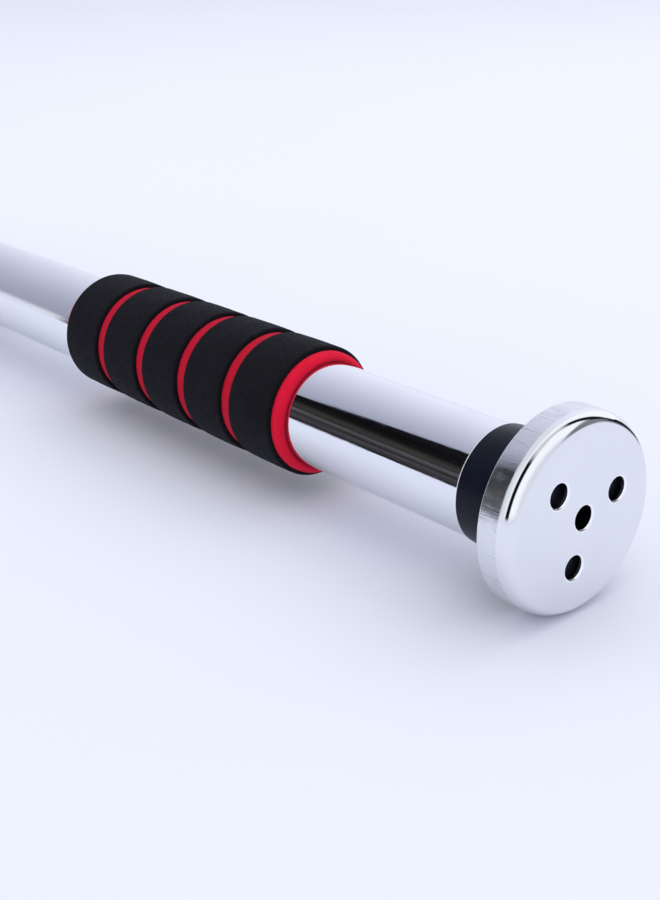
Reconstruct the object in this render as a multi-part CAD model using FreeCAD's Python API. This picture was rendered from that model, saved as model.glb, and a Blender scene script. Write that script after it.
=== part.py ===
"""Telescopic doorway pull-up bar, screwed in to its shortest length.

A chrome outer tube carries two foam grips and turns on a swivel foot at its near end. A lead screw inside it
drives a nut on the inner tube, so that turning the bar pushes the far foot out. Each foot sits in a pressed
steel cup that screws to the door frame.

Millimetres. X runs along the bar, from the far cup to the near cup, +Z is up, and the origin is the middle of
the bar on its axis. End pieces are drawn in their own frame, where x is the depth from the wall face inwards.
"""

import FreeCAD, Part
import math
import os

from FreeCAD import Vector

# The bar as a whole
CLOSED_LENGTH = 660.0  # from wall face to wall face
TRAVEL = 350.0  # how far the inner tube screws out
HALF = CLOSED_LENGTH / 2
RUNNING = 0.08  # radial clearance of a turning or sliding fit
FACE_GAP = 0.1  # between faces that turn on each other
CLEARANCE = 0.3  # radial, where a part passes through a hole without touching
EDGE = 0.5  # rounding of most edges
FINE_EDGE = 0.3
OVERRUN = 1.0  # how far a cutter passes the faces it cuts

# Tubes
TUBE_WALL = 1.5
OUTER_R = 19.0
OUTER_BORE = OUTER_R - TUBE_WALL
INNER_R = 16.0
INNER_BORE = INNER_R - TUBE_WALL
MOUTH = CLOSED_LENGTH - 60.0  # depth of the outer tube's open end from the near wall
MOUTH_BUSH_INSIDE = 30.0
MOUTH_BUSH_RIM = 5.0
MOUTH_BUSH_R = (20.2, 19.6)  # of the rim, at the tube and at its end
MOUTH_BUSH_NOSE = 1.2

# Wall cup
CUP_R = 31.8
CUP_DEPTH = 12.8
CUP_WALL = 1.5
# The shoulder between face and wall: (depth, radius, rounding) of the end of the flat, the turn and the crease
CUP_SHOULDER = ((0.0, 29.3, 2.3), (2.04, 31.34, 5.6), (5.3, CUP_R, 0.3))
CUP_INNER_CORNER = 3.5
CUP_LIP = 0.4
HOLE_R = 3.75
HOLE_CIRCLE_R = 15.5
HOLE_TURN = 16.6  # how far the near cup is turned, from +Y towards +Z
HOLE_EDGE = 0.35

# Pad and foot, by depth from the wall face
PAD_FACE = CUP_WALL + FACE_GAP
PAD_BACK = 4.6
PAD_R = 29.2
PAD_CORNER = 2.4
PAD_EDGE = 0.4
PAD_HOLE_R = 8.5
CHANNEL_R = (10.3, 20.7)  # the channel that clears the heads of the wall screws
CHANNEL_FLOOR = 3.8
FOOT_R = 29.4
FOOT_BACK = 11.0
FOOT_RIM = 1.2  # rounding of the disc's back edge
FOOT_NECK = 1.0  # rounding where the collar leaves the disc
HEAD_SEAT = 16.0  # floor of the recess for the bolt's head
RECESS_R = 8.0
COLLAR_R = 21.4  # where the collar leaves the cup
COLLAR_END = 33.0
TUBE_GAP = 0.3  # between the collar and the tube's end
NEAR_COLLAR_R = 19.5  # where the collar meets the outer tube
FAR_COLLAR_R = 16.9  # where the collar meets the inner tube
NEAR_SPIGOT_END = 43.0
FAR_SPIGOT_END = 58.0

# Pivot, plug and bolts
BUSH_R = 7.0
SHOULDER_R = 5.0
THREAD_R = 4.0
BOLT_HEAD_R = 6.5
BOLT_HEAD_LENGTH = 8.0
BOLT_CHAMFER = 0.6
HEX_KEY = 6.0
HEX_DEPTH = 4.0
WASHER_END = 45.0
WASHER_GAP = 0.6  # between the washer and the outer tube
PLUG_START = WASHER_END + FACE_GAP
PLUG_LENGTH = 20.0
SHOULDER_END = PLUG_START + 0.5
PIVOT_BOLT_END = PLUG_START + 12.0
FAR_BOLT_END = 72.0
FAR_PLUG_EDGE = 0.4

# Lead screw, nut and stop
LEAD = 8.0  # one turn of the bar moves the nut this far
CREST_R = 10.0
ROOT_R = 8.2
CREST_WIDTH = 2.4
FLANK_WIDTH = 1.4
THREAD_CLEARANCE = 0.3
SPIGOT_R = 6.0
SPIGOT_START = PLUG_START + 0.6
TAPPED_END = PLUG_START + 13.0
SCREW_START = PLUG_START + PLUG_LENGTH
NUT_GAP = 3.0  # between the plug and the nut when the bar is closed
NUT_START = SCREW_START + NUT_GAP
NUT_FLANGE = 10.0
NUT_LENGTH = 30.0
NUT_CHAMFER = 0.8
TURNS = math.ceil((NUT_GAP + NUT_LENGTH + TRAVEL) / LEAD)
TIP_R = 6.5
TIP_PROUD = 1.5  # how far the screw's tip stands out of the stop
STOP_R = 13.8
STOP_LENGTH = 8.0
STOP_GAP = 0.5
STOP_EDGE = 0.6

SCREW_PIN_R = 1.5
SCREW_PIN_X = SCREW_START - 3.9
SCREW_PIN_HALF = OUTER_BORE - 1.0
STOP_PIN_R = 1.25
STOP_PIN_HALF = STOP_R - 0.5
STOP_START = SCREW_START + LEAD * TURNS + STOP_GAP
STOP_X = STOP_START + STOP_LENGTH / 2
NUT_PIN_R = 1.6
NUT_PIN_X = NUT_START + 20.0
NUT_PIN_INNER = 11.5  # how near the axis the nut's pins reach
NUT_PIN_OUTER = INNER_R - 0.1

# Grips
GRIP_LENGTH = 145.0
GRIP_START = 114.8  # from each wall face
GRIP_R = 23.9
NOSE = 3.0  # rounding at the ends of the red core
SKIN = 1.7  # thickness of the black layer
SKIN_SETBACK = 4.2  # the red core stands out past the black layer by this much
SKIN_EDGE = 1.2
GROOVE_PITCH = 28.15
GROOVE_WIDTH = 6.2
GROOVES = 4


def outline(points):
    """A closed face in the XZ plane. A point is (x, r) or (x, r, radius of its rounded corner)."""
    corners = [(Vector(p[0], 0, p[1]), p[2] if len(p) > 2 else 0.0) for p in points]
    ends, arcs = [], []
    for i, (here, radius) in enumerate(corners):
        if not radius:
            ends.append((here, here))
            arcs.append(None)
            continue
        back = (corners[i - 1][0] - here).normalize()
        ahead = (corners[(i + 1) % len(corners)][0] - here).normalize()
        half = back.getAngle(ahead) / 2
        cut = radius / math.tan(half)
        start, finish = here + back * cut, here + ahead * cut
        middle = (back + ahead).normalize()
        centre = here + middle * (radius / math.sin(half))
        arcs.append(Part.Arc(start, centre - middle * radius, finish).toShape())
        ends.append((start, finish))
    edges = []
    for i, arc in enumerate(arcs):
        if arc:
            edges.append(arc)
        leave, arrive = ends[i][1], ends[(i + 1) % len(ends)][0]
        if leave.distanceToPoint(arrive) > 1e-6:
            edges.append(Part.LineSegment(leave, arrive).toShape())
    return Part.Face(Part.Wire(edges))


def turned(points):
    """The outline turned about the X axis."""
    return outline(points).revolve(Vector(0, 0, 0), Vector(1, 0, 0), 360)


def ring(start, end, bore, radius, edge=0.0):
    """A plain ring or sleeve between two places on the X axis, its outer edges rounded by edge."""
    return turned([(start, bore), (start, radius, edge), (end, radius, edge), (end, bore)])


def rod(start, end, radius):
    return Part.makeCylinder(radius, end - start, Vector(start, 0, 0), Vector(1, 0, 0))


def cross_pin(x, radius, half_length):
    """A pin through the axis, along Y."""
    return Part.makeCylinder(radius, 2 * half_length, Vector(x, -half_length, 0), Vector(0, 1, 0))


def at_near_end(shape):
    """From the end frame to the bar's own frame, at the near wall."""
    placed = shape.copy()
    placed.rotate(Vector(0, 0, 0), Vector(0, 0, 1), 180)
    placed.translate(Vector(HALF, 0, 0))
    return placed


def at_far_end(shape):
    placed = shape.copy()
    placed.translate(Vector(-HALF, 0, 0))
    return placed


def wall_cup(turn):
    """A pressed cup with three screw holes on a circle and one in the middle for the hex key."""
    cup = turned([
        (0, 0),
        *CUP_SHOULDER,
        (CUP_DEPTH, CUP_R, CUP_LIP),
        (CUP_DEPTH, CUP_R - CUP_WALL, CUP_LIP),
        (CUP_WALL, CUP_R - CUP_WALL, CUP_INNER_CORNER),
        (CUP_WALL, 0),
    ])
    places = [(0.0, 0.0)]
    for k in range(3):
        angle = math.radians(turn + 120 * k)
        places.append((HOLE_CIRCLE_R * math.cos(angle), HOLE_CIRCLE_R * math.sin(angle)))
    for y, z in places:
        hole = turned([
            (-OVERRUN, 0),
            (-OVERRUN, HOLE_R + HOLE_EDGE),
            (0, HOLE_R + HOLE_EDGE),
            (HOLE_EDGE, HOLE_R),
            (CUP_WALL + OVERRUN, HOLE_R),
            (CUP_WALL + OVERRUN, 0),
        ])
        hole.translate(Vector(0, y, z))
        cup = cup.cut(hole)
    return cup


def pad():
    """A rubber disc between cup and foot, with a channel that clears the screw heads."""
    inner, outer = CHANNEL_R
    return turned([
        (PAD_FACE, PAD_HOLE_R),
        (PAD_FACE, inner, PAD_EDGE),
        (CHANNEL_FLOOR, inner),
        (CHANNEL_FLOOR, outer),
        (PAD_FACE, outer, PAD_EDGE),
        (PAD_FACE, PAD_R, PAD_CORNER),
        (PAD_BACK, PAD_R, PAD_EDGE),
        (PAD_BACK, PAD_HOLE_R),
    ])


def foot(collar_r, spigot_r, spigot_end, bore):
    """A moulded foot: a disc that sits in the cup, a tapered collar, and a spigot inside the tube."""
    return turned([
        (PAD_BACK, RECESS_R),
        (PAD_BACK, FOOT_R, EDGE),
        (FOOT_BACK, FOOT_R, FOOT_RIM),
        (FOOT_BACK, COLLAR_R, FOOT_NECK),
        (COLLAR_END, collar_r, EDGE),
        (COLLAR_END, spigot_r),
        (spigot_end, spigot_r, EDGE),
        (spigot_end, bore),
        (HEAD_SEAT, bore),
        (HEAD_SEAT, RECESS_R),
    ])


def socket_bolt(shoulder_r, shoulder_end, thread_end):
    """A socket-head bolt whose head sits in the foot's recess."""
    head = HEAD_SEAT - FACE_GAP
    top = head - BOLT_HEAD_LENGTH
    bolt = turned([
        (top, 0),
        (top, BOLT_HEAD_R, BOLT_CHAMFER),
        (head, BOLT_HEAD_R, FINE_EDGE),
        (head, shoulder_r),
        (shoulder_end, shoulder_r),
        (shoulder_end, THREAD_R),
        (thread_end, THREAD_R, BOLT_CHAMFER),
        (thread_end, 0),
    ])
    corner = HEX_KEY / math.sqrt(3)
    corners = []
    for k in range(7):
        angle = math.radians(60 * k)
        corners.append(Vector(top, corner * math.cos(angle), corner * math.sin(angle)))
    socket = Part.Face(Part.makePolygon(corners)).extrude(Vector(HEX_DEPTH, 0, 0))
    return bolt.cut(socket)


def thread_section(clearance):
    """The thread's cross-section, where its crest points along +Y. A clearance makes it the nut's cutter."""
    crest_r, root_r = CREST_R + clearance, ROOT_R + clearance
    per_mm = 2 * math.pi / LEAD
    crest_end = (CREST_WIDTH / 2 + clearance) * per_mm
    root_start = crest_end + FLANK_WIDTH * per_mm

    def point(radius, angle):
        return Vector(0, radius * math.cos(angle), radius * math.sin(angle))

    def flank(side):
        steps = 6
        line = Part.BSplineCurve()
        line.interpolate([
            point(
                crest_r + (root_r - crest_r) * k / steps,
                side * (crest_end + (root_start - crest_end) * k / steps),
            )
            for k in range(steps + 1)
        ])
        return line.toShape()

    crest = Part.Arc(point(crest_r, -crest_end), point(crest_r, 0), point(crest_r, crest_end)).toShape()
    root = Part.Arc(
        point(root_r, root_start), point(root_r, math.pi), point(root_r, -root_start)
    ).toShape()
    return Part.Wire([crest, flank(1), root, flank(-1)])


def one_turn(clearance):
    """The side faces of one turn of the thread."""
    spine = Part.Wire(Part.LineSegment(Vector(0, 0, 0), Vector(LEAD, 0, 0)).toShape())
    guide = Part.makeHelix(LEAD, LEAD, CREST_R)
    guide.rotate(Vector(0, 0, 0), Vector(0, 1, 0), 90)
    sweep = Part.BRepOffsetAPI.MakePipeShell(spine)
    sweep.setAuxiliarySpine(Part.Wire(guide.Edges), True, 0)
    sweep.add(thread_section(clearance))
    sweep.build()
    return sweep.shape().Faces


def thread(start, turns, clearance=0.0):
    """A threaded rod: the faces of its turns sewn together, with a flat end at each end."""
    turn = one_turn(clearance)
    faces = []
    for k in range(turns):
        for face in turn:
            moved = face.copy()
            moved.translate(Vector(start + LEAD * k, 0, 0))
            faces.append(moved)
    for x in (start, start + LEAD * turns):
        cap = thread_section(clearance)
        cap.translate(Vector(x, 0, 0))
        faces.append(Part.Face(cap))
    shell = Part.makeShell(faces)
    shell.sewShape()
    solid = Part.Solid(shell)
    if solid.Volume < 0:
        solid.reverse()
    return solid


def lead_screw():
    """Spigot in the end plug with a tapped hole for the pivot bolt, the thread, and a tip for the stop."""
    thread_end = SCREW_START + LEAD * TURNS
    screw = thread(SCREW_START, TURNS)
    screw = screw.fuse(rod(SPIGOT_START, SCREW_START, SPIGOT_R))
    screw = screw.fuse(rod(thread_end, STOP_START + STOP_LENGTH + TIP_PROUD, TIP_R))
    screw = screw.cut(rod(SPIGOT_START - OVERRUN, TAPPED_END, THREAD_R))
    screw = screw.cut(cross_pin(SCREW_PIN_X, SCREW_PIN_R, 2 * SPIGOT_R))
    return screw.cut(cross_pin(STOP_X, STOP_PIN_R, 2 * TIP_R))


def nut_pins():
    """Three dowels through the inner tube's wall into the nut."""
    pins = []
    for k in range(3):
        angle = math.radians(90 + 120 * k)
        out = Vector(0, math.cos(angle), math.sin(angle))
        tip = Vector(NUT_PIN_X, 0, 0) + out * NUT_PIN_INNER
        pins.append(Part.makeCylinder(NUT_PIN_R, NUT_PIN_OUTER - NUT_PIN_INNER, tip, out))
    return Part.makeCompound(pins)


def lead_nut():
    """A nut whose flange slides in the outer tube and whose body is pinned inside the inner tube."""
    end = NUT_START + NUT_LENGTH
    step = NUT_START + NUT_FLANGE
    blank = turned([
        (NUT_START, 0),
        (NUT_START, OUTER_BORE - RUNNING, NUT_CHAMFER),
        (step, OUTER_BORE - RUNNING, NUT_CHAMFER),
        (step, INNER_BORE),
        (end, INNER_BORE, EDGE),
        (end, 0),
    ])
    first = SCREW_START - LEAD
    turns = int((end + LEAD - first) // LEAD) + 1
    return blank.cut(thread(first, turns, THREAD_CLEARANCE)).cut(nut_pins())


def grip(start):
    """A foam grip in two layers: a red core, and a black skin that grooves part into bands."""
    end = start + GRIP_LENGTH
    skin_start, skin_end = start + SKIN_SETBACK, end - SKIN_SETBACK
    core_r = GRIP_R - SKIN
    core = ring(start, end, OUTER_R, core_r, NOSE)
    bands = ring(skin_start, skin_end, core_r, GRIP_R, SKIN_EDGE)
    for k in range(GROOVES):
        middle = (start + end) / 2 + GROOVE_PITCH * (k - (GROOVES - 1) / 2)
        low, high = middle - GROOVE_WIDTH / 2, middle + GROOVE_WIDTH / 2
        bands = bands.cut(ring(low, high, core_r - OVERRUN, GRIP_R + OVERRUN))
    return core, bands


def mouth_bush():
    """A black bush in the outer tube's open end, which guides the inner tube."""
    bore, inside, end = INNER_R + RUNNING, MOUTH - MOUTH_BUSH_INSIDE, MOUTH + MOUTH_BUSH_RIM
    return turned([
        (inside, bore),
        (inside, OUTER_BORE),
        (MOUTH, OUTER_BORE),
        (MOUTH, MOUTH_BUSH_R[0], EDGE),
        (end, MOUTH_BUSH_R[1], MOUTH_BUSH_NOSE),
        (end, bore, FINE_EDGE),
    ])


def outer_tube():
    start = COLLAR_END + TUBE_GAP
    return turned([
        (start, OUTER_BORE, FINE_EDGE),
        (start, OUTER_R, EDGE),
        (MOUTH, OUTER_R, FINE_EDGE),
        (MOUTH, OUTER_BORE, FINE_EDGE),
    ])


def inner_tube():
    start, end = NUT_START + NUT_FLANGE, CLOSED_LENGTH - COLLAR_END
    return ring(start, end, INNER_BORE, INNER_R, FINE_EDGE).cut(nut_pins())


def build():
    """Every piece, by the name of its node. Pieces along the bar are drawn from the near wall."""
    screw_pin = cross_pin(SCREW_PIN_X, SCREW_PIN_R, SCREW_PIN_HALF)
    stop_pin = cross_pin(STOP_X, STOP_PIN_R, STOP_PIN_HALF)
    near = {
        "near_cup": wall_cup(180 - HOLE_TURN),
        "near_pad": pad(),
        "near_foot": foot(NEAR_COLLAR_R, OUTER_BORE - RUNNING, NEAR_SPIGOT_END, BUSH_R),
        "pivot_bush": ring(HEAD_SEAT, NEAR_SPIGOT_END, SHOULDER_R + RUNNING / 2, BUSH_R),
        "thrust_washer": ring(
            NEAR_SPIGOT_END, WASHER_END, SHOULDER_R + CLEARANCE, OUTER_BORE - WASHER_GAP, FINE_EDGE
        ),
        "pivot_bolt": socket_bolt(SHOULDER_R, SHOULDER_END, PIVOT_BOLT_END),
        "end_plug": ring(PLUG_START, SCREW_START, SPIGOT_R, OUTER_BORE).cut(screw_pin),
        "screw_pin": screw_pin,
        "lead_screw": lead_screw(),
        "outer_tube": outer_tube(),
        "mouth_bush": mouth_bush(),
        "inner_tube": inner_tube(),
        "lead_nut": lead_nut(),
        "nut_pins": nut_pins(),
        "stop_ring": ring(STOP_START, STOP_START + STOP_LENGTH, TIP_R, STOP_R, STOP_EDGE).cut(stop_pin),
        "stop_pin": stop_pin,
    }
    near["near_grip_core"], near["near_grip_bands"] = grip(GRIP_START)
    near["far_grip_core"], near["far_grip_bands"] = grip(CLOSED_LENGTH - GRIP_START - GRIP_LENGTH)
    far = {
        "far_cup": wall_cup(HOLE_TURN),
        "far_pad": pad(),
        "far_foot": foot(FAR_COLLAR_R, INNER_BORE, FAR_SPIGOT_END, THREAD_R + CLEARANCE),
        "far_bolt": socket_bolt(THREAD_R, FAR_SPIGOT_END, FAR_BOLT_END),
        "far_plug": ring(
            FAR_SPIGOT_END, FAR_SPIGOT_END + PLUG_LENGTH, THREAD_R, INNER_BORE, FAR_PLUG_EDGE
        ),
    }
    pieces = {name: at_near_end(shape) for name, shape in near.items()}
    pieces.update({name: at_far_end(shape) for name, shape in far.items()})
    return pieces


os.makedirs("parts", exist_ok=True)
for name, shape in build().items():
    if not shape.isValid():
        raise ValueError(f"{name} is not a valid shape")
    shape.exportStep(f"parts/{name}.step")
    print(f"{name:18s} {len(shape.Solids)} solid(s) {shape.Volume / 1000:9.2f} cm3")
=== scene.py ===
"""Looks for the doorway pull-up bar: finer meshes and materials for its pieces, floor, light and camera."""

import math

import bmesh
import bpy
from mathutils import Matrix, Quaternion, Vector, geometry, noise

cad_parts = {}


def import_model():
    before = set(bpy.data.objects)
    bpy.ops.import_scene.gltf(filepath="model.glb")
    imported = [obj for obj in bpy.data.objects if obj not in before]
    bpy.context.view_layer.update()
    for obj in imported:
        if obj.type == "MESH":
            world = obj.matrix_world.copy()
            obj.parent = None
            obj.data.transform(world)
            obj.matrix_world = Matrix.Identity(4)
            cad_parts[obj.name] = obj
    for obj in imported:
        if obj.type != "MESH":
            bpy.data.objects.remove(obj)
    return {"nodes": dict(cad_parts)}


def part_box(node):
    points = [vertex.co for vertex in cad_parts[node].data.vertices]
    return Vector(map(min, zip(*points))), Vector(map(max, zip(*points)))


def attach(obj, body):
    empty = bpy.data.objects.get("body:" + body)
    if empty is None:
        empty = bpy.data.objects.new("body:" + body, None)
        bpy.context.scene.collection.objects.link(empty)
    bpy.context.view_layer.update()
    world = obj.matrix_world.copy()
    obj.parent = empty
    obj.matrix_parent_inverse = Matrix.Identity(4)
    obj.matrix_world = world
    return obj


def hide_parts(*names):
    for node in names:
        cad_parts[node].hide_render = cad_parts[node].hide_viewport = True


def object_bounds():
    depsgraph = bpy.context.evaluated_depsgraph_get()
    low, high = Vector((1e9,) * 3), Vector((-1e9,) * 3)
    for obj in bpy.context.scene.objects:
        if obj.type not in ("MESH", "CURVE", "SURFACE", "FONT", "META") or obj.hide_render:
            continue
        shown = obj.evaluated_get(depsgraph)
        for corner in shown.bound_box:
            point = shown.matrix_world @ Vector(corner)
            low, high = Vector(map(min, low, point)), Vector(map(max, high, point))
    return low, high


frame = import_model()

cad_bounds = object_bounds()

# The camera, placed from the middle of the near cup's outer face
CAMERA_OFFSET = Vector((0.2160, -0.2732, 0.1712))
CAMERA_AIM = Vector((-0.0904, -0.0199, 0.0))
CAMERA_ROLL = math.radians(-2.18)
CAMERA_LENS = 52.47

MM = 0.001
SEGMENTS = 224  # round the bar
HALF_LENGTH = cad_bounds[1][0]

# Radii of the bar's turned pieces
TUBE_R = 19.0 * MM
TUBE_BORE = 17.5 * MM
INNER_R = 16.0 * MM
INNER_BORE = 14.5 * MM
TUBE_EDGE = 0.4 * MM
CUP_R = 31.8 * MM
CUP_WALL = 1.5 * MM
CUP_DEPTH = 12.8 * MM
CUP_LIP = 0.5 * MM
CUP_FLAT_R = 26.5 * MM
CUP_SHOULDER = ((0.0, 29.3, 2.3), (2.04, 31.34, 5.6), (5.3, 31.8, 0.3))  # (depth, radius, rounding), in mm
CUP_INNER_CORNER = 3.5 * MM
CUP_SIDE_START = 5.2 * MM  # depth at which the polished shoulder ends and the satin side begins
HOLE_R = 3.75 * MM
HOLE_EDGE = 0.65 * MM
HOLE_MARGIN = 0.15 * MM
HOLE_CIRCLE_R = 15.5 * MM
HOLE_TURN = math.radians(16.6)
HOLE_SEGMENTS = 72

# Foam grips
GRIP_CLEARANCE = 0.02 * MM
GROOVES = 4
GROOVE_PITCH = 28.15 * MM
GROOVE_WIDTH = 5.6 * MM


# ---------------------------------------------------------------- shader helpers


def material(name):
    """A new material, its node tree and its Principled shader."""
    made = bpy.data.materials.new(name)
    made.use_nodes = True
    return made, made.node_tree, made.node_tree.nodes["Principled BSDF"]


def add(tree, kind, inputs=None, **settings):
    """Adds a shader node. An input takes a value, or a socket to link."""
    made = tree.nodes.new("ShaderNode" + kind)
    for name, value in settings.items():
        setattr(made, name, value)
    for name, value in (inputs or {}).items():
        if isinstance(value, bpy.types.NodeSocket):
            tree.links.new(value, made.inputs[name])
        else:
            made.inputs[name].default_value = value
    return made


def maths(tree, operation, first, second=0.0):
    made = add(tree, "Math", {0: first, 1: second}, operation=operation)
    return made.outputs[0]


def remap(tree, value, low, high, to_low, to_high, smooth=False):
    """Maps a value from one range to another, clamped."""
    kind = "SMOOTHSTEP" if smooth else "LINEAR"
    inputs = {"Value": value, "From Min": low, "From Max": high, "To Min": to_low, "To Max": to_high}
    return add(tree, "MapRange", inputs, interpolation_type=kind).outputs["Result"]


def mixed(tree, factor, first, second):
    """Mixes two colours."""
    made = add(tree, "Mix", data_type="RGBA")
    for socket, value in ((0, factor), (6, first), (7, second)):
        if isinstance(value, bpy.types.NodeSocket):
            tree.links.new(value, made.inputs[socket])
        else:
            made.inputs[socket].default_value = value if socket == 0 else (*value, 1.0)
    return made.outputs[2]


def grain(tree, scale, detail=3.0, roughness=0.55, stretch=(1.0, 1.0, 1.0)):
    """Noise in the piece's own coordinates, in cells per metre. A low stretch draws it out that way."""
    place = add(tree, "TexCoord").outputs["Object"]
    if stretch != (1.0, 1.0, 1.0):
        place = add(tree, "Mapping", {"Vector": place, "Scale": stretch}).outputs["Vector"]
    inputs = {"Vector": place, "Scale": scale, "Detail": detail, "Roughness": roughness}
    return add(tree, "TexNoise", inputs).outputs["Fac"]


def bump(tree, shader, height, distance, strength=1.0, under=None):
    """Bumps the shader's surface by a height map, whose full range stands for distance in metres."""
    inputs = {"Height": height, "Distance": distance, "Strength": strength}
    if under:
        inputs["Normal"] = under
    made = add(tree, "Bump", inputs)
    tree.links.new(made.outputs["Normal"], shader.inputs["Normal"])
    return made.outputs["Normal"]


# ---------------------------------------------------------------- materials


def chrome_tube():
    """Mirror chrome on drawn tube: long faint draw lines, a few finer scuffs, and a haze of handling."""
    made, tree, shader = material("chrome_tube")
    shader.inputs["Metallic"].default_value = 1.0
    lines = grain(tree, 900.0, 4.0, 0.6, (0.012, 1.0, 1.0))
    haze = grain(tree, 38.0, 4.0, 0.6)
    scuffs = grain(tree, 2600.0, 2.0, 0.5, (0.05, 1.0, 1.0))
    colour = mixed(tree, haze, (0.78, 0.80, 0.84), (0.86, 0.87, 0.90))
    tree.links.new(colour, shader.inputs["Base Color"])
    scuffed = remap(tree, scuffs, 0.6, 0.8, 0.0, 0.05)
    rough = maths(tree, "ADD", remap(tree, haze, 0.35, 0.75, 0.035, 0.075), scuffed)
    tree.links.new(rough, shader.inputs["Roughness"])
    bump(tree, shader, lines, 0.00002)
    return made


def chrome_cup():
    """Chrome on pressed steel: a satin face, polished rounding, draw marks along the side wall, and a painted
    highlight of near-white colour round the rims of the holes.
    """
    made, tree, shader = material("chrome_cup")
    shader.inputs["Metallic"].default_value = 1.0
    place = add(tree, "SeparateXYZ", {"Vector": add(tree, "TexCoord").outputs["Object"]})
    depth = maths(tree, "SUBTRACT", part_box("near_cup")[1].x, maths(tree, "ABSOLUTE", place.outputs["X"]))
    side = remap(tree, depth, CUP_SIDE_START, CUP_SIDE_START + 0.3 * MM, 0.0, 1.0)
    face = remap(tree, depth, 0.05 * MM, 0.5 * MM, 1.0, 0.0)
    draw = grain(tree, 1500.0, 3.0, 0.6, (0.05, 1.0, 1.0))
    mottle = grain(tree, 300.0, 4.0, 0.6, (0.5, 1.0, 1.0))
    haze = grain(tree, 60.0, 4.0, 0.6)
    colour = mixed(tree, haze, (0.78, 0.79, 0.82), (0.85, 0.86, 0.88))
    scratched, worn = remap(tree, draw, 0.46, 0.66, 0.0, 1.0), remap(tree, mottle, 0.45, 0.65, 0.0, 1.0)
    dulled = mixed(tree, maths(tree, "MULTIPLY", scratched, worn), (0.77, 0.78, 0.82), (0.56, 0.57, 0.60))
    colour = mixed(tree, side, colour, dulled)
    # Painted highlight: near-white base colour, with halved roughness, on the rounded rims of the holes.
    edge = add(tree, "Attribute", attribute_name="hole_rim_highlight").outputs["Fac"]
    tree.links.new(mixed(tree, edge, colour, (0.98, 0.98, 1.0)), shader.inputs["Base Color"])
    rough = maths(tree, "MULTIPLY", side, remap(tree, mottle, 0.3, 0.7, 0.11, 0.25))
    rough = maths(tree, "ADD", rough, maths(tree, "MULTIPLY", face, remap(tree, haze, 0.3, 0.7, 0.15, 0.21)))
    rough = maths(tree, "MULTIPLY", maths(tree, "ADD", rough, 0.05), remap(tree, edge, 0.0, 1.0, 1.0, 0.5))
    tree.links.new(rough, shader.inputs["Roughness"])
    marks = maths(tree, "MULTIPLY", maths(tree, "ADD", draw, maths(tree, "MULTIPLY", mottle, 0.4)), side)
    bump(tree, shader, marks, 0.00005)
    return made


def foam(name, colours, sheen, tint):
    """Closed-cell foam: fine pores, uneven tone, fuzz that lightens it at a glance, and painted shade in the
    grooves and creases that its mesh marks.
    """
    made, tree, shader = material(name)
    place = add(tree, "TexCoord").outputs["Object"]
    warp = grain(tree, 700.0, 2.0, 0.5)
    cells = add(tree, "TexVoronoi", {"Vector": place, "Scale": 2300.0, "Randomness": 1.0}).outputs["Distance"]
    pores = remap(tree, cells, 0.1, 0.55, 0.0, 1.0)
    patches = grain(tree, 120.0, 5.0, 0.65)
    colour = mixed(tree, remap(tree, patches, 0.3, 0.7, 0.0, 1.0), *colours)
    # Painted shade: where the mesh marks it, the colour darkens towards 0.4 of the darker foam colour.
    painted_shade = add(tree, "Attribute", attribute_name="painted_shade").outputs["Fac"]
    colour = mixed(tree, painted_shade, colour, [0.4 * part for part in colours[0]])
    tree.links.new(colour, shader.inputs["Base Color"])
    tree.links.new(remap(tree, warp, 0.3, 0.7, 0.72, 0.92), shader.inputs["Roughness"])
    shader.inputs["Specular IOR Level"].default_value = 0.1
    shader.inputs["Sheen Weight"].default_value = sheen
    shader.inputs["Sheen Roughness"].default_value = 0.5
    shader.inputs["Sheen Tint"].default_value = (*tint, 1.0)
    coarse = bump(tree, shader, warp, 0.00018, 0.7)
    bump(tree, shader, pores, 0.00009, 0.8, coarse)
    return made


def moulded(name, colours, roughness, specular=0.5, pits=0.00003, scale=900.0):
    """Moulded plastic or rubber: fine texture from the mould, uneven gloss, and light rubbing."""
    made, tree, shader = material(name)
    fine = grain(tree, scale, 3.0, 0.6)
    broad = grain(tree, 45.0, 4.0, 0.6)
    colour = mixed(tree, remap(tree, broad, 0.35, 0.65, 0.0, 1.0), *colours)
    tree.links.new(colour, shader.inputs["Base Color"])
    low, high = roughness
    tree.links.new(remap(tree, broad, 0.3, 0.7, low, high), shader.inputs["Roughness"])
    shader.inputs["Specular IOR Level"].default_value = specular
    bump(tree, shader, fine, pits)
    return made


def foot_plastic():
    """Moulded nylon, blue-black, with a satin shine."""
    return moulded("foot_nylon", ((0.003, 0.005, 0.011), (0.005, 0.007, 0.016)), (0.26, 0.36), specular=0.08)


def machined(name, colours, roughness, scale=2200.0):
    """Turned metal: tool marks round the axis, seen as fine steps along it, and stains and rubbed spots."""
    made, tree, shader = material(name)
    shader.inputs["Metallic"].default_value = 1.0
    turning = grain(tree, scale, 3.0, 0.6, (1.0, 0.02, 0.02))
    stains = grain(tree, 140.0, 5.0, 0.65)
    colour = mixed(tree, remap(tree, stains, 0.35, 0.65, 0.0, 1.0), *colours)
    tree.links.new(colour, shader.inputs["Base Color"])
    low, high = roughness
    tree.links.new(remap(tree, stains, 0.3, 0.7, high, low), shader.inputs["Roughness"])
    bump(tree, shader, turning, 0.00003)
    return made


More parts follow.
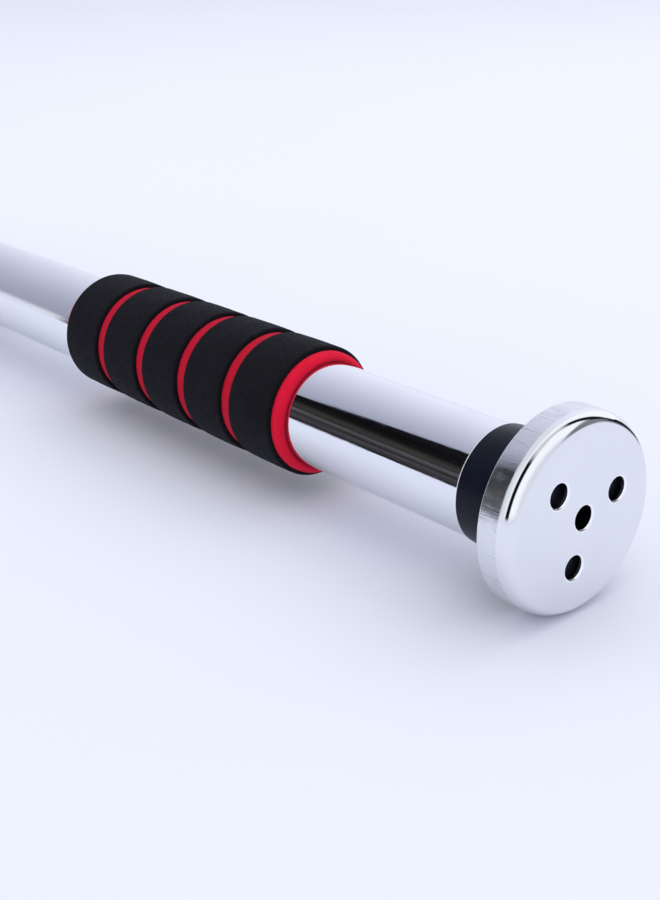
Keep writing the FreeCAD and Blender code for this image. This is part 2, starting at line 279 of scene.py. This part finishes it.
def dress_cad_pieces(nylon, steel):
    """Gives each CAD piece that stays its material."""
    coats = {
        nylon: ("thrust_washer",),
        moulded("pad_rubber", ((0.007, 0.009, 0.017), (0.014, 0.016, 0.026)), (0.35, 0.6)): (
            "near_pad", "far_pad",
        ),
        steel: ("end_plug", "stop_ring", "far_plug"),
        machined("black_steel", ((0.035, 0.036, 0.04), (0.09, 0.09, 0.10)), (0.3, 0.5)): (
            "pivot_bolt", "far_bolt", "screw_pin", "stop_pin", "nut_pins",
        ),
        machined("brass", ((0.62, 0.43, 0.16), (0.78, 0.58, 0.27)), (0.2, 0.38)): ("lead_nut",),
        machined("bronze", ((0.40, 0.24, 0.12), (0.55, 0.36, 0.19)), (0.3, 0.5)): ("pivot_bush",),
    }
    for coat, names in coats.items():
        for name in names:
            mesh = frame["nodes"][name].data
            mesh.materials.clear()
            mesh.materials.append(coat)


# ---------------------------------------------------------------- foam grips


def shown(name, points, faces, coat):
    """A smooth-shaded mesh object, sharp only where its faces meet at a hard angle."""
    mesh = bpy.data.meshes.new(name)
    mesh.from_pydata(points, [], faces)
    mesh.update()
    mesh.materials.append(coat)
    mesh.shade_smooth()
    mesh.set_sharp_from_angle(angle=math.radians(40))
    piece = bpy.data.objects.new(name, mesh)
    bpy.context.scene.collection.objects.link(piece)
    return piece


def weld(piece):
    """Joins the sections of a mesh where their edges meet, and turns all faces outwards."""
    shape = bmesh.new()
    shape.from_mesh(piece.data)
    bmesh.ops.remove_doubles(shape, verts=shape.verts, dist=0.002 * MM)
    bmesh.ops.recalc_face_normals(shape, faces=shape.faces)
    shape.to_mesh(piece.data)
    shape.free()


def spun(chain, closed, centre=(0.0, 0.0), segments=SEGMENTS):
    """Points and faces of a chain of (x, r) turned about a line along X through centre, (y, z)."""
    points, faces = [], []
    count = len(chain)
    for k in range(segments):
        angle = 2 * math.pi * k / segments
        y, z = math.cos(angle), math.sin(angle)
        points += [Vector((x, centre[0] + r * y, centre[1] + r * z)) for x, r in chain]
        here, there = k * count, (k + 1) % segments * count
        for i in range(count if closed else count - 1):
            j = (i + 1) % count
            faces.append((here + i, here + j, there + j, there + i))
    return points, faces


def lathe(name, outlines, coat, unevenness=0.0):
    """A mesh of closed outlines, each turned about the X axis. Foam is never quite even."""
    points, faces = [], []
    for outline in outlines:
        new_points, new_faces = spun(outline, True)
        faces += [tuple(len(points) + i for i in face) for face in new_faces]
        points += new_points
    if unevenness:
        for place in points:
            out = Vector((0.0, place.y, place.z)).normalized()
            place += out * unevenness * noise.fractal(place * 130.0, 0.8, 2.0, 3)
    piece = shown(name, points, faces, coat)
    weld(piece)
    return piece


def arc(x, r, radius, start, end, steps=8):
    """Points on an arc, in degrees from +x towards +r."""
    points = []
    for k in range(steps + 1):
        angle = math.radians(start + (end - start) * k / steps)
        points.append((x + radius * math.cos(angle), r + radius * math.sin(angle)))
    return points


def straight(x_from, x_to, r_of, steps):
    """Points between two places, at a radius that r_of gives for how far along they are."""
    return [(x_from + (x_to - x_from) * k / steps, r_of(k / steps)) for k in range(1, steps)]


def band_outline(low, high, inner, outer):
    """One black band: soft lips where the grooves cut it, and a slight crown."""
    lip, crown = 1.0 * MM, 0.12 * MM
    side = outer - crown - lip
    top = straight(low + lip, high - lip, lambda t: outer - crown + crown * math.sin(math.pi * t), 16)
    return (
        [(low, inner)]
        + arc(low + lip, side, lip, 180, 90)
        + top
        + arc(high - lip, side, lip, 90, 0)
        + [(high, inner)]
    )


def core_outline(low, high, tube, radius, cuts):
    """The red core: domed ends, and a swell where each groove lets it bulge."""
    dome, swell = 3.1 * MM, 0.3 * MM

    def out(x):
        lift = 0.0
        for cut in cuts:
            lift = max(lift, 1 - ((x - cut) / (GROOVE_WIDTH / 2)) ** 2)
        return radius + swell * lift

    length = high - low - 2 * dome
    top = straight(low + dome, high - dome, lambda t: out(low + dome + length * t), 240)
    return (
        [(low + 0.4 * MM, tube)]
        + arc(low + dome, radius - dome, dome, 180, 90, 14)
        + top
        + arc(high - dome, radius - dome, dome, 90, 0, 14)
        + [(high - 0.4 * MM, tube)]
    )


def grip(side, red, black):
    """One foam grip, from the places of its CAD pieces."""
    core_low, core_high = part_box(side + "_grip_core")
    skin_low, skin_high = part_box(side + "_grip_bands")
    tube = TUBE_R + GRIP_CLEARANCE
    middle = (core_low.x + core_high.x) / 2
    cuts = [middle + GROOVE_PITCH * (k - (GROOVES - 1) / 2) for k in range(GROOVES)]
    core = lathe(
        side + "_grip_red_foam",
        [core_outline(core_low.x, core_high.x, tube, core_high.z, cuts)],
        red,
        0.04 * MM,
    )
    # Painted shade for the red foam: half dark in each groove, and darkening towards the tube at the crease
    # of the domed ends.
    painted_shade = core.data.attributes.new("painted_shade", "FLOAT", "POINT")
    for vertex, value in zip(core.data.vertices, painted_shade.data):
        x, y, z = vertex.co
        crease = 1 - (math.hypot(y, z) - tube) / (1.3 * MM)
        grooved = any(abs(x - cut) < GROOVE_WIDTH / 2 for cut in cuts)
        value.value = 0.5 if grooved else min(max(crease, 0.0), 1.0)
    edges = [skin_low.x]
    for cut in cuts:
        edges += [cut - GROOVE_WIDTH / 2, cut + GROOVE_WIDTH / 2]
    edges.append(skin_high.x)
    bands = [
        band_outline(edges[i], edges[i + 1], core_high.z - 0.1 * MM, skin_high.z)
        for i in range(0, len(edges), 2)
    ]
    skin = lathe(side + "_grip_black_foam", bands, black, 0.06 * MM)
    for piece, node, slot in ((core, "core", "foam_red"), (skin, "bands", "foam_black")):
        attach(piece, "bar")
        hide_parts(f"{side}_grip_{node}")


# ---------------------------------------------------------------- turned metal and plastic


def rounded(corners, steps=8):
    """An outline from corners (x, r, radius of the rounding), with each rounding as an arc."""
    outline = []
    for i, (x, r, radius) in enumerate(corners):
        here = Vector((x, r))
        if not radius:
            outline.append((x, r))
            continue
        back = (Vector(corners[i - 1][:2]) - here).normalized()
        ahead = (Vector(corners[(i + 1) % len(corners)][:2]) - here).normalized()
        half = back.angle(ahead) / 2
        centre = here + (back + ahead).normalized() * radius / math.sin(half)
        first, last = here + back * radius / math.tan(half), here + ahead * radius / math.tan(half)
        start, sweep = (first - centre), (first - centre).angle_signed(last - centre)
        for k in range(steps + 1):
            turned = start.copy()
            turned.rotate(Matrix.Rotation(-sweep * k / steps, 2))
            outline.append(tuple(centre + turned))
    return outline


def in_mm(corners):
    return [(x * MM, r * MM, radius * MM) for x, r, radius in corners]


def at_end(piece, end):
    """Moves a piece drawn by its depth from the wall face to its end of the bar."""
    if end == "near":
        piece.data.transform(Matrix.Translation((HALF_LENGTH, 0.0, 0.0)) @ Matrix.Rotation(math.pi, 4, "Z"))
    else:
        piece.data.transform(Matrix.Translation((-HALF_LENGTH, 0.0, 0.0)))


def stands_for(piece, node, body):
    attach(piece, body)
    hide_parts(node)


def flat_ring(level, rim, centres, inner, facing_out):
    """The flat part of the cup's end at one depth, between its rim and the edges of its holes."""
    loops = [((0.0, 0.0), rim, SEGMENTS)] + [(centre, inner, HOLE_SEGMENTS) for centre in centres]
    flat, edges = [], []
    for (y, z), radius, count in loops:
        first = len(flat)
        for k in range(count):
            angle = 2 * math.pi * k / count
            flat.append(Vector((y + radius * math.cos(angle), z + radius * math.sin(angle))))
            edges.append((first + k, first + (k + 1) % count))
    triangles = geometry.delaunay_2d_cdt(flat, edges, [], 0, 1e-9)[2]
    points = [Vector((level, place.x, place.y)) for place in flat]
    faces = []
    for triangle in triangles:
        middle = sum((flat[i] for i in triangle), Vector((0.0, 0.0))) / 3
        if any((middle - Vector(centre)).length < inner for centre in centres):
            continue
        faces.append(tuple(reversed(triangle)) if facing_out else tuple(triangle))
    return points, faces


def cup(end, coat):
    """A wall cup: pressed wall with a bevelled shoulder, a rounded lip, and four holes with soft edges."""
    wall = rounded([
        (0.0, CUP_FLAT_R, 0.0),
        *in_mm(CUP_SHOULDER),
        (CUP_DEPTH, CUP_R, CUP_LIP),
        (CUP_DEPTH, CUP_R - CUP_WALL, CUP_LIP),
        (CUP_WALL, CUP_R - CUP_WALL, CUP_INNER_CORNER),
        (CUP_WALL, CUP_FLAT_R, 0.0),
    ], 14)
    edge_r = HOLE_R + HOLE_EDGE + HOLE_MARGIN
    bore = rounded([
        (CUP_WALL, edge_r, 0.0),
        (CUP_WALL, HOLE_R, HOLE_EDGE / 2),
        (0.0, HOLE_R, HOLE_EDGE),
        (0.0, edge_r, 0.0),
    ], 6)
    first = math.pi - HOLE_TURN if end == "near" else HOLE_TURN
    centres = [(0.0, 0.0)]
    for k in range(3):
        angle = first + 2 * math.pi * k / 3
        centres.append((HOLE_CIRCLE_R * math.cos(angle), HOLE_CIRCLE_R * math.sin(angle)))
    sections = [spun(wall, False)]
    sections += [spun(bore, False, centre, HOLE_SEGMENTS) for centre in centres]
    sections.append(flat_ring(0.0, CUP_FLAT_R, centres, edge_r, True))
    sections.append(flat_ring(CUP_WALL, CUP_FLAT_R, centres, edge_r, False))
    points, faces = [], []
    for new_points, new_faces in sections:
        faces += [tuple(len(points) + i for i in face) for face in new_faces]
        points += new_points
    piece = shown(end + "_wall_cup", points, faces, coat)
    weld(piece)
    # Marks the rounded rims of the holes on the outer face, where the cup's material paints a highlight.
    mark = piece.data.attributes.new("hole_rim_highlight", "FLOAT", "POINT")
    for vertex, value in zip(piece.data.vertices, mark.data):
        x, y, z = vertex.co
        away = min(math.hypot(y - centre[0], z - centre[1]) for centre in centres)
        value.value = 1.0 if x < HOLE_EDGE and away < edge_r - HOLE_MARGIN / 3 else 0.0
    at_end(piece, end)
    stands_for(piece, end + "_cup", end + "_cup")


def foot(end, coat):
    """A moulded foot: its disc in the cup, the collar that tapers to the tube, and the spigot inside."""
    collar, spigot, spigot_end, bore = (19.5, 17.42, 43.0, 7.0) if end == "near" else (16.9, 14.5, 58.0, 4.3)
    back, front, collar_end, recess_end = 4.6, 11.0, 33.0, 16.0
    disc, recess = 29.4, 8.0
    outline = rounded(in_mm([
        (back, recess, 0.3), (back, disc, 0.5), (front, disc, 1.2), (front, 21.4, 1.0),
        (collar_end, collar, 0.15), (collar_end, spigot, 0.0), (spigot_end, spigot, 0.5),
        (spigot_end, bore, 0.3), (recess_end, bore, 0.0), (recess_end, recess, 0.3),
    ]))
    piece = lathe(end + "_swivel_foot", [outline], coat)
    at_end(piece, end)
    stands_for(piece, end + "_foot", "near_foot" if end == "near" else "extension")


def sleeve(name, node, body, coat, bore, radius):
    """A chrome tube, as long as its CAD piece."""
    low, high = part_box(node)
    corners = [(low.x, bore), (low.x, radius), (high.x, radius), (high.x, bore)]
    outline = rounded([(x, r, TUBE_EDGE) for x, r in corners])
    stands_for(lathe(name, [outline], coat), node, body)


def mouth_collar(coat):
    """The black bush in the outer tube's mouth, with a rounded rim that stands a little proud of the tube."""
    bore, skirt = 16.08, 17.5
    start, mouth, rim = 570.0, 600.0, 605.0
    outline = rounded(in_mm([
        (start, bore, 0.3), (start, skirt, 0.4), (mouth, skirt, 0.0), (mouth, 20.2, 0.5),
        (rim, 19.6, 1.2), (rim, bore, 0.6),
    ]))
    piece = lathe("mouth_collar", [outline], coat)
    at_end(piece, "near")
    stands_for(piece, "mouth_bush", "bar")


def thinned(name, node, share, coat):
    """A copy of a CAD piece's mesh, joined up and with only a share of its faces."""
    source = frame["nodes"][node]
    mesh = source.data.copy()
    mesh.transform(source.matrix_world)
    whole = bpy.data.objects.new(name + "_whole", mesh)
    bpy.context.scene.collection.objects.link(whole)
    weld(whole)
    whole.modifiers.new("thin", "DECIMATE").ratio = share
    thin = whole.evaluated_get(bpy.context.evaluated_depsgraph_get()).data
    points = [vertex.co.copy() for vertex in thin.vertices]
    piece = shown(name, points, [tuple(face.vertices) for face in thin.polygons], coat)
    bpy.data.objects.remove(whole)
    weld(piece)
    return piece


# ---------------------------------------------------------------- floor, light and camera


def floor_material():
    made, tree, shader = material("studio_floor")
    tone = grain(tree, 3.0, 2.0, 0.5)
    colour = mixed(tree, tone, (0.78, 0.80, 0.88), (0.80, 0.82, 0.90))
    tree.links.new(colour, shader.inputs["Base Color"])
    shader.inputs["Roughness"].default_value = 0.9
    shader.inputs["Specular IOR Level"].default_value = 0.0
    return made


def stage_mesh(name, points, faces, coat):
    mesh = bpy.data.meshes.new(name)
    mesh.from_pydata(points, [], faces)
    mesh.materials.append(coat)
    made = bpy.data.objects.new(name, mesh)
    bpy.context.scene.collection.objects.link(made)
    return made


def floor():
    """A wide pale sweep, level with the lowest point of the cups."""
    level, reach = cad_bounds[0][2], 12.0
    corners = [(-reach, -reach, level), (reach, -reach, level), (reach, reach, level), (-reach, reach, level)]
    stage_mesh("floor", corners, [(0, 1, 2, 3)], floor_material())


def flag_material(foot, top):
    """Dark studio flag: black at its top, then dark brown, then charcoal with paler bands lower down."""
    made = bpy.data.materials.new("studio_flag")
    made.use_nodes = True
    tree = made.node_tree
    tree.nodes.clear()
    height = add(tree, "SeparateXYZ", {"Vector": add(tree, "TexCoord").outputs["Object"]}).outputs["Z"]
    share = remap(tree, height, foot, top, 0.0, 1.0)
    ramp = add(tree, "ValToRGB", {"Fac": share})
    stops = (
        (0.0, 0.012), (0.06, 0.035), (0.20, 0.06), (0.24, 0.02), (0.30, 0.07), (0.36, 0.10),
        (0.42, 0.035), (0.50, 0.05), (0.60, 0.028), (0.72, 0.008), (1.0, 0.006),
    )
    for position, value in stops[1:-1]:
        blue = 0.85 if position > 0.4 else 1.05
        ramp.color_ramp.elements.new(position).color = (value, value * 0.95, value * blue, 1.0)
    ends = ramp.color_ramp.elements
    ends[0].color = (stops[0][1], stops[0][1], stops[0][1], 1.0)
    ends[len(ends) - 1].color = (stops[-1][1], stops[-1][1], stops[-1][1] * 1.4, 1.0)
    streaks = grain(tree, 60.0, 3.0, 0.6, (0.02, 1.0, 1.0))
    strength = remap(tree, streaks, 0.35, 0.65, 0.4, 1.6)
    glow = add(tree, "Emission", {"Color": ramp.outputs["Color"], "Strength": strength})
    output = add(tree, "OutputMaterial")
    tree.links.new(glow.outputs["Emission"], output.inputs["Surface"])
    return made


def reflected_only(name, points, coat):
    """A flat panel that only reflections see."""
    panel = stage_mesh(name, points, [tuple(range(len(points)))], coat)
    panel.visible_camera = False
    panel.visible_diffuse = False
    panel.visible_shadow = False
    panel.visible_transmission = False


def flags():
    """A tall dark panel beside the bar, for the dark line along the chrome, and a low one behind the cup."""
    level, side, behind = cad_bounds[0][2], -0.55, 0.22
    outline = [
        (0.04, level), (-0.75, level), (-0.75, 0.565), (-0.52, 0.58), (-0.47, 0.98), (-0.22, 0.98),
        (-0.14, 0.60), (0.04, 0.5),
    ]
    reflected_only("flag", [(x, side, z) for x, z in outline], flag_material(level, 0.565))
    low = [(0.33, level), (0.47, level), (0.45, 0.06), (0.34, 0.06)]
    reflected_only("low_flag", [(x, behind, z) for x, z in low], flag_material(-0.5, 0.06))


def area_light(name, place, aim, size, watts, colour):
    data = bpy.data.lights.new(name, "AREA")
    data.shape = "RECTANGLE"
    data.size, data.size_y = size
    data.energy = watts
    data.color = colour
    lamp = bpy.data.objects.new(name, data)
    lamp.location = place
    lamp.rotation_euler = (Vector(aim) - Vector(place)).to_track_quat("-Z", "Y").to_euler()
    lamp.visible_glossy = False
    lamp.visible_camera = False
    bpy.context.scene.collection.objects.link(lamp)


def world():
    """Soft surroundings: white to the right, grey at the left, and dark gaps for the chrome to reflect."""
    made = bpy.data.worlds.new("studio")
    made.use_nodes = True
    tree = made.node_tree
    tree.nodes.clear()
    way = add(tree, "TexCoord").outputs["Generated"]
    direction = add(tree, "SeparateXYZ", {"Vector": way})
    x, y, z = (direction.outputs[axis] for axis in "XYZ")
    left = mixed(tree, remap(tree, y, -0.5, 0.7, 0.0, 1.0), (0.38, 0.40, 0.51), (0.92, 0.95, 1.10))
    ahead = remap(tree, x, 0.5, 0.85, 0.0, 1.0, smooth=True)
    right = mixed(tree, ahead, (1.10, 1.12, 1.16), (0.80, 0.83, 0.94))
    around = mixed(tree, remap(tree, x, -0.5, -0.25, 0.0, 1.0, smooth=True), left, right)
    around = mixed(tree, remap(tree, z, 0.0, 0.14, 1.0, 0.0, smooth=True), around, (0.88, 0.90, 0.99))
    beyond = maths(tree, "MAXIMUM", y, 0.0)
    middle = maths(tree, "ADD", maths(tree, "MULTIPLY", maths(tree, "MULTIPLY", beyond, beyond), 0.36), -0.04)
    half_width = remap(tree, y, -0.1, 0.1, 0.19, 0.13)
    off = maths(tree, "ABSOLUTE", maths(tree, "SUBTRACT", x, middle))
    gap = remap(tree, maths(tree, "DIVIDE", off, half_width), 0.6, 1.25, 1.0, 0.0, smooth=True)
    gap = maths(tree, "MULTIPLY", gap, remap(tree, z, 0.86, 0.97, 1.0, 0.35, smooth=True))
    gap = maths(tree, "MULTIPLY", gap, remap(tree, z, 0.0, 0.08, 0.1, 1.0, smooth=True))
    around = mixed(tree, gap, around, (0.006, 0.007, 0.012))
    corner = add(tree, "VectorMath", {0: way, 1: (0.56, 0.76, 0.33)}, operation="DOT_PRODUCT")
    dark = remap(tree, corner.outputs["Value"], 0.885, 0.955, 0.0, 0.8, smooth=True)
    around = mixed(tree, dark, around, (0.02, 0.02, 0.03))
    path = add(tree, "LightPath")
    around = mixed(tree, path.outputs["Is Diffuse Ray"], around, (0.91, 0.93, 1.00))
    seen = mixed(tree, path.outputs["Is Camera Ray"], around, (0.84, 0.86, 0.98))
    background = add(tree, "Background", {"Color": seen, "Strength": 1.0})
    output = add(tree, "OutputWorld")
    tree.links.new(background.outputs["Background"], output.inputs["Surface"])
    bpy.context.scene.world = made


def lights():
    area_light("key", (0.2, 1.3, 1.6), (0.1, 0.0, 0.0), (1.6, 1.2), 5.6, (1.0, 0.99, 0.97))
    area_light("top", (-0.2, -0.3, 2.2), (0.0, 0.0, 0.0), (2.4, 2.4), 8.2, (0.97, 0.98, 1.0))


def camera():
    face = Vector((cad_bounds[1][0], 0.0, 0.0))
    data = bpy.data.cameras.new("camera")
    data.lens = CAMERA_LENS
    data.sensor_width = 36.0
    data.clip_start = 0.01
    made = bpy.data.objects.new("camera", data)
    made.location = face + CAMERA_OFFSET
    look = (CAMERA_AIM - CAMERA_OFFSET).to_track_quat("-Z", "Y")
    made.rotation_mode = "QUATERNION"
    made.rotation_quaternion = look @ Quaternion((0.0, 0.0, 1.0), CAMERA_ROLL)
    bpy.context.scene.collection.objects.link(made)
    bpy.context.scene.camera = made


camera()
world()
lights()
floor()
flags()
cup_metal, tube_metal, foot_nylon = chrome_cup(), chrome_tube(), foot_plastic()
bush_nylon = moulded("bush_nylon", ((0.009, 0.009, 0.012), (0.015, 0.015, 0.019)), (0.4, 0.55), specular=0.2)
zinc_steel = machined("zinc_steel", ((0.50, 0.51, 0.53), (0.68, 0.69, 0.70)), (0.22, 0.42))
dress_cad_pieces(bush_nylon, zinc_steel)
stands_for(thinned("threaded_rod", "lead_screw", 0.4, zinc_steel), "lead_screw", "bar")
sleeve("chrome_outer_tube", "outer_tube", "bar", tube_metal, TUBE_BORE, TUBE_R)
sleeve("chrome_inner_tube", "inner_tube", "extension", tube_metal, INNER_BORE, INNER_R)
mouth_collar(bush_nylon)
red_foam = foam("red_foam", ((0.66, 0.006, 0.032), (0.74, 0.009, 0.04)), 0.22, (1.0, 0.12, 0.2))
black_foam = foam("black_foam", ((0.0036, 0.0036, 0.0052), (0.0064, 0.0064, 0.0086)), 0.025, (0.7, 0.72, 1.0))
for end in ("near", "far"):
    grip(end, red_foam, black_foam)
    cup(end, cup_metal)
    foot(end, foot_nylon)
bpy.context.scene.view_settings.view_transform = "Standard"
